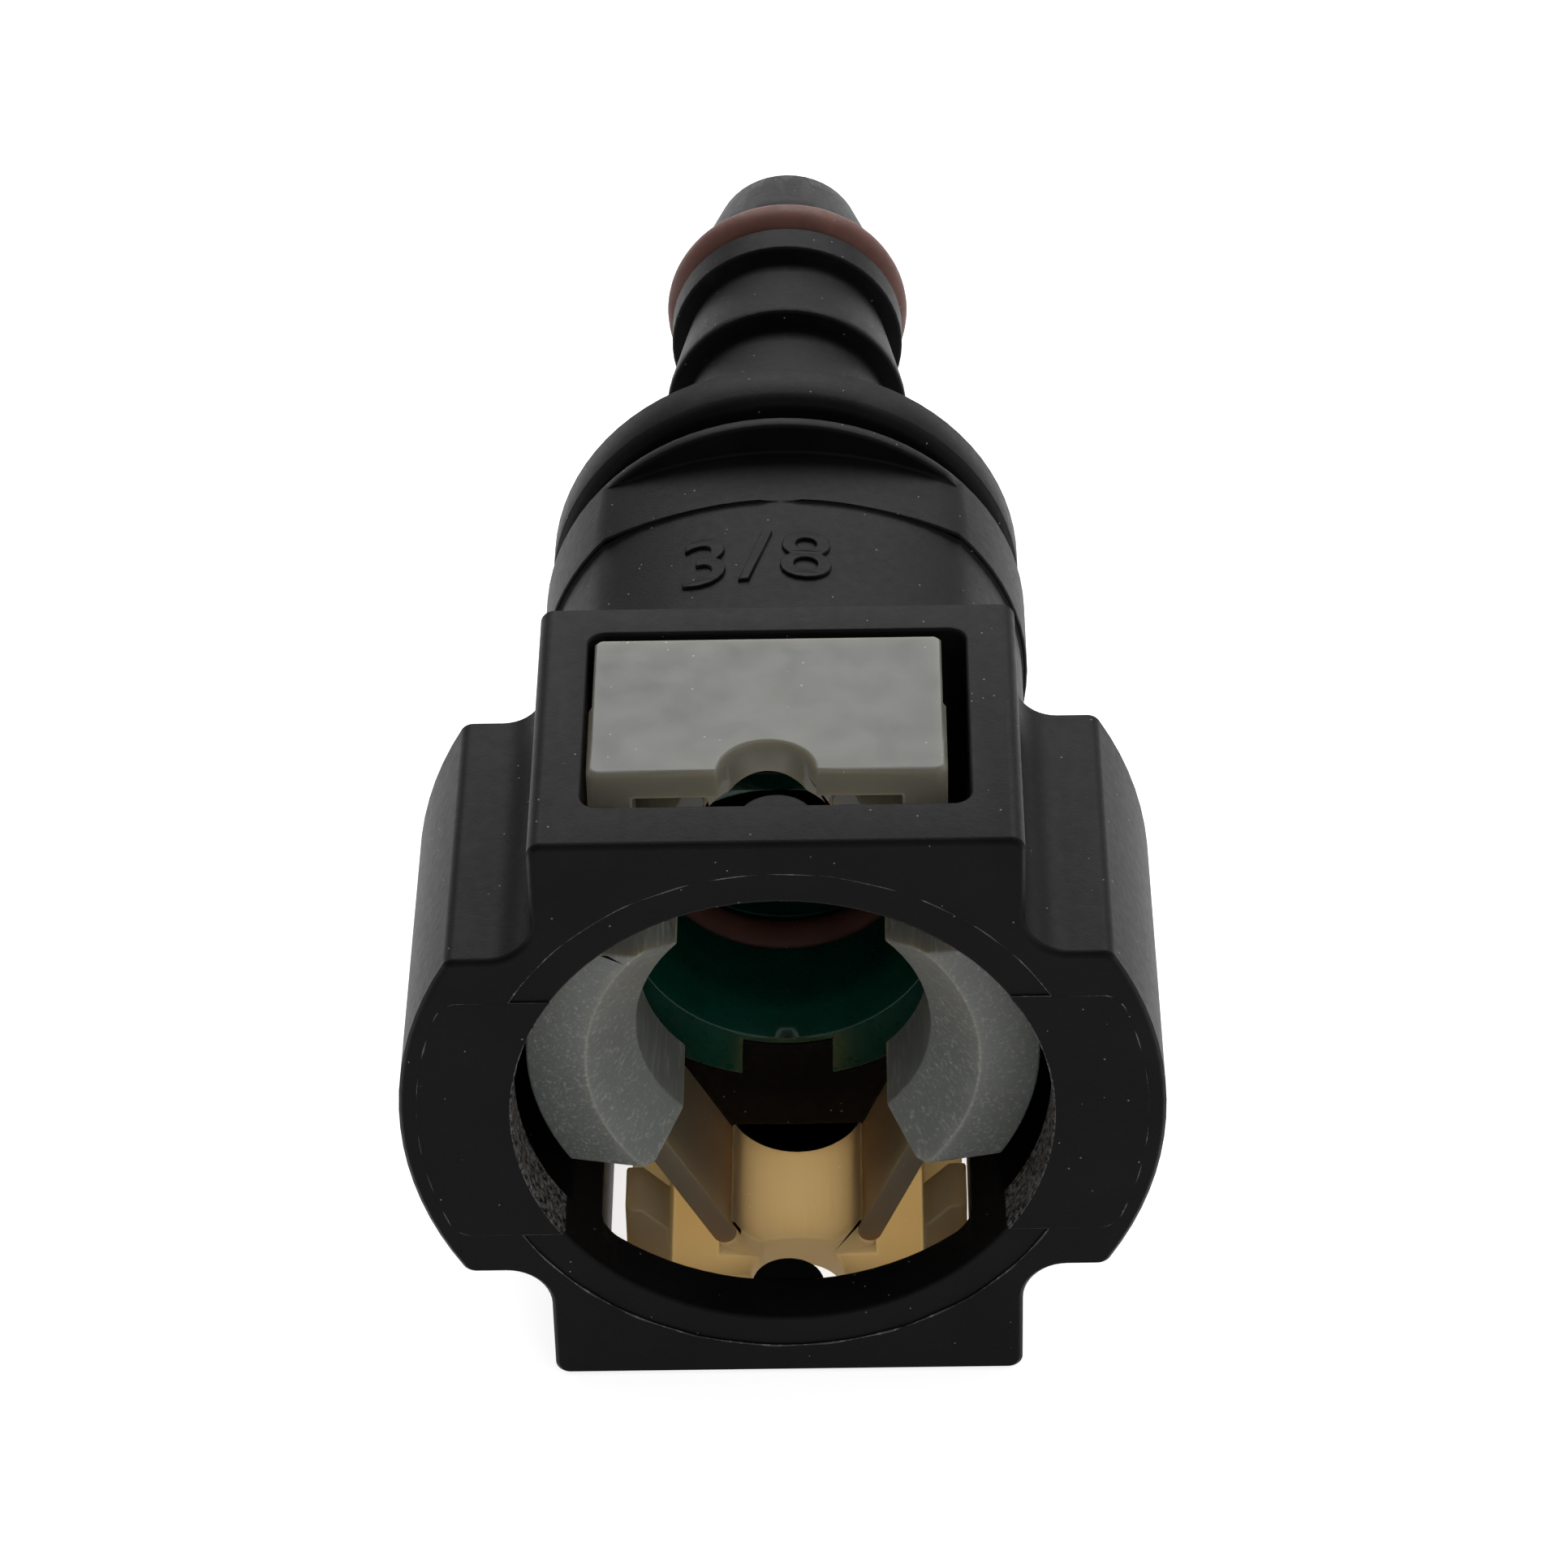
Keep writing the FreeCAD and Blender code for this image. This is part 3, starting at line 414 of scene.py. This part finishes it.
def insert_outline(half, inner, outer, corner):
    """A mouth insert's front outline in x and z, from the bore's wall out, round and back to the wall."""
    run, rise = math.sqrt((outer - corner) ** 2 - (half - corner) ** 2), half - corner
    tilt = math.atan2(rise, run)
    outline = [(math.sqrt(inner**2 - half**2), -half)]
    for i in range(7):
        turn = -math.pi / 2 + (math.pi / 2 - tilt) * i / 6
        outline.append((run + corner * math.cos(turn), -rise + corner * math.sin(turn)))
    for i in range(1, 24):
        turn = tilt * (i / 12 - 1)
        outline.append((outer * math.cos(turn), outer * math.sin(turn)))
    for i in range(7):
        turn = tilt + (math.pi / 2 - tilt) * i / 6
        outline.append((run + corner * math.cos(turn), rise + corner * math.sin(turn)))
    return outline + [(math.sqrt(inner**2 - half**2), half)]


def insert_face(hand, name, outline):
    """The front of a mould insert at one side of the mouth: a thin plate, just proud of the housing."""
    lean = math.atan2(outline[-1][1], outline[-1][0])
    inner = math.hypot(*outline[0])
    wall = [(inner * math.cos(lean * i / 12), inner * math.sin(lean * i / 12)) for i in range(11, -12, -1)]
    form = bmesh.new()
    front = cad_low.y / MM - INSERT_PROUD
    loops = [
        [form.verts.new((hand * x * MM, y * MM, z * MM)) for x, z in outline + wall]
        for y in (front, front + 0.1)
    ]
    form.faces.new(loops[0])
    form.faces.new(loops[1])
    for i in range(len(loops[0])):
        k = (i + 1) % len(loops[0])
        form.faces.new((loops[0][i], loops[0][k], loops[1][k], loops[1][i]))
    bmesh.ops.recalc_face_normals(form, faces=form.faces)
    mesh = bpy.data.meshes.new(name)
    form.to_mesh(mesh)
    form.free()
    return new_piece(name, mesh, "housing", [BLACK])


def fine_line(name, line, radius=0.035):
    """A fine raised line on the housing's front, as a mould joint leaves, along points given in x and z."""
    curve = bpy.data.curves.new(name + "_path", "CURVE")
    curve.dimensions = "3D"
    curve.bevel_depth = radius * MM
    curve.bevel_resolution = 2
    spline = curve.splines.new("POLY")
    spline.points.add(len(line) - 1)
    for i, (x, z) in enumerate(line):
        wander = 0.012 * math.sin(5.1 * i) + 0.008 * math.sin(11.7 * i + 1.0)
        spline.points[i].co = (x * MM, (cad_low.y / MM + LINE_DEPTH) * MM, (z + wander) * MM, 1.0)
        spline.points[i].radius = 0.8 + 0.35 * math.sin(3.3 * i) * math.sin(1.7 * i)
    thing = bpy.data.objects.new(name + "_path", curve)
    scene.collection.objects.link(thing)
    bpy.context.view_layer.update()
    mesh = bpy.data.meshes.new_from_object(thing.evaluated_get(bpy.context.evaluated_depsgraph_get()))
    bpy.data.objects.remove(thing)
    mesh.name = name
    mesh.materials.clear()
    for polygon in mesh.polygons:
        polygon.use_smooth = True
        polygon.material_index = 0
    # The line's pale material is partly wear and partly a painted highlight.
    return new_piece(name, mesh, "housing", [WITNESS_WEAR_AND_HIGHLIGHT])


def arc(radius, start, end, count=48):
    """Points in x and z along an arc round the flow axis, from start to end in degrees."""
    turns = [math.radians(start + (end - start) * i / count) for i in range(count + 1)]
    return [(radius * math.cos(turn), radius * math.sin(turn)) for turn in turns]


softened("housing", "housing_shell", [BLACK, BLACK_EDGE], 0.12)
OUTLINE = insert_outline(INSERT_HALF, INSERT_INNER, INSERT_OUTER, INSERT_CORNER)
insert_face(-1, "insert_left", OUTLINE)
insert_face(1, "insert_right", OUTLINE)
fine_line("insert_line_left", [(-x, z) for x, z in OUTLINE])
fine_line("insert_line_right", OUTLINE)
fine_line("mouth_line_top", arc(FACE_STEP_RADIUS, 29.6, 150.4))
fine_line("mouth_line_bottom", arc(FACE_STEP_RADIUS, 209.6, 330.4))
softened("guide_bushing", "bushing_body", [GREEN, GREEN], 0.05, 28.0, False)
ring("stem_seal_ring", "stem_seal", RUBBER)
ring("seal_ring_front", "front_seal", RUBBER)
ring("seal_ring_rear", "rear_seal", RUBBER)
softened("seal_spacer", "spacer_body", [GREEN, GREEN], 0.05)
# The bottom pad and webs take the painted-glow copy of the pad's nylon.
for side, nylon in (("top", PAD), ("bottom", PAD_PAINTED_GLOW)):
    softened(f"retainer_pad_{side}", f"pad_{side}", [nylon, nylon], 0.1)
    for hand in ("left", "right"):
        softened(f"retainer_web_{side}_{hand}", f"web_{side}_{hand}", [nylon, nylon], 0.06)
for hand in ("left", "right"):
    softened(f"retainer_claw_{hand}", f"claw_{hand}", [CLAW, CLAW], 0.08, 28.0)


def barrel_words(text, size, middle, rise):
    """Raised figures on the barrel's crown, following its curve."""
    curve = bpy.data.curves.new("size_mark_curve", "FONT")
    curve.body = text
    curve.size = size * MM
    curve.align_x = "CENTER"
    curve.align_y = "CENTER"
    curve.space_character = 1.12
    curve.resolution_u = 4
    flat = bpy.data.objects.new("size_mark_flat", curve)
    scene.collection.objects.link(flat)
    flat.data.extrude = rise * MM
    flat.data.bevel_depth = 0.05 * MM
    flat.data.bevel_resolution = 2
    bpy.context.view_layer.update()
    mesh = bpy.data.meshes.new_from_object(flat.evaluated_get(bpy.context.evaluated_depsgraph_get()))
    bpy.data.objects.remove(flat)
    form = bmesh.new()
    form.from_mesh(mesh)
    crown, height = BARREL_CROWN * MM, BARREL_HALF_HEIGHT * MM
    for v in form.verts:
        x = v.co.x + middle[0] * MM
        lift = height - crown + math.sqrt(crown**2 - x**2)
        v.co = Vector((x, v.co.y + middle[1] * MM, lift + v.co.z))
    form.to_mesh(mesh)
    form.free()
    mesh.name = "size_mark"
    return new_piece("size_mark", mesh, "housing", [BLACK])


barrel_words("3/8", 4.0, (-0.9, 9.2), 0.06)


# ----------------------------------------------------------------------------------------------------
# Floor, light and camera
# ----------------------------------------------------------------------------------------------------
def floor(height):
    """A plain pale floor that keeps the object's shadow and looks white past it."""
    mesh = bpy.data.meshes.new("studio_floor")
    half = 0.9
    mesh.from_pydata(
        [(-half, -half, height), (half, -half, height), (half, half, height), (-half, half, height)],
        [],
        [(0, 1, 2, 3)],
    )
    mat = bpy.data.materials.new("studio_floor")
    t = Tree(mat)
    path = t.add("ShaderNodeLightPath")
    seen = t.math(
        "MAXIMUM",
        path.outputs["Is Camera Ray"],
        t.math("MAXIMUM", path.outputs["Is Glossy Ray"], path.outputs["Is Transmission Ray"]),
    )
    board = t.add("ShaderNodeBsdfDiffuse", {"Color": colour(0.8, 0.8, 0.8)})
    glow = t.add("ShaderNodeEmission", {"Color": colour(1, 1, 1), "Strength": t.math("MULTIPLY", seen, 0.8)})
    both = t.add("ShaderNodeAddShader", {0: board.outputs[0], 1: glow.outputs[0]})
    t.surface(both.outputs[0])
    plane = bpy.data.objects.new("studio_floor", mesh)
    mesh.materials.append(mat)
    scene.collection.objects.link(plane)


def lamp(name, place, aim, size, power):
    """A rectangular soft light at a place, turned to its aim."""
    light = bpy.data.lights.new(name, "AREA")
    light.shape = "RECTANGLE"
    light.size, light.size_y = size
    light.energy = power
    thing = bpy.data.objects.new(name, light)
    thing.location = place
    thing.rotation_mode = "QUATERNION"
    thing.rotation_quaternion = (Vector(aim) - Vector(place)).to_track_quat("-Z", "Y")
    scene.collection.objects.link(thing)


def surroundings():
    """White behind the object; for its lighting, brighter at the back and near the horizon."""
    world = bpy.data.worlds.new("studio")
    scene.world = world
    t = Tree(world)
    path = t.add("ShaderNodeLightPath")
    coords = t.add("ShaderNodeTexCoord")
    across, depth, height = t.add("ShaderNodeSeparateXYZ", {0: coords.outputs["Generated"]}).outputs
    level = t.math("ADD", t.span(depth, -0.7, 0.9, 0.13, 0.62), t.span(across, 0.2, 0.95, 0.0, 0.45))
    level = t.math("ADD", level, t.span(height, 0.0, 0.7, 0.1, 0.0))
    strength = t.math("MAXIMUM", path.outputs["Is Camera Ray"], level)
    back = t.add("ShaderNodeBackground", {"Color": colour(1, 1, 1), "Strength": strength})
    t.add("ShaderNodeOutputWorld", {"Surface": back.outputs[0]})


floor(cad_low.z)
surroundings()
lamp("top_light", (0.02, 0.27, 0.205), (0, 0.01, 0), (0.34, 0.22), 0.85)
lamp("front_fill", (0.05, -0.28, 0.18), (0, 0, 0), (0.25, 0.2), 0.12)

# The photograph's camera, as fitted to the housing's corners and circles.
camera_data = bpy.data.cameras.new("camera")
camera_data.lens = 131.183
camera_data.sensor_width = 36.0
camera_data.clip_start = 0.01
camera_data.clip_end = 10.0
camera = bpy.data.objects.new("camera", camera_data)
camera.matrix_world = (
    Matrix.Rotation(math.radians(0.211), 4, "Z")
    @ Matrix.Rotation(math.radians(1.182), 4, "Y")
    @ Matrix.Translation(Vector((0.002, -158.193, 122.936)) * MM)
    @ Matrix.Rotation(math.radians(53.204), 4, "X")
)
scene.collection.objects.link(camera)
scene.camera = camera
scene.view_settings.view_transform = "Standard"
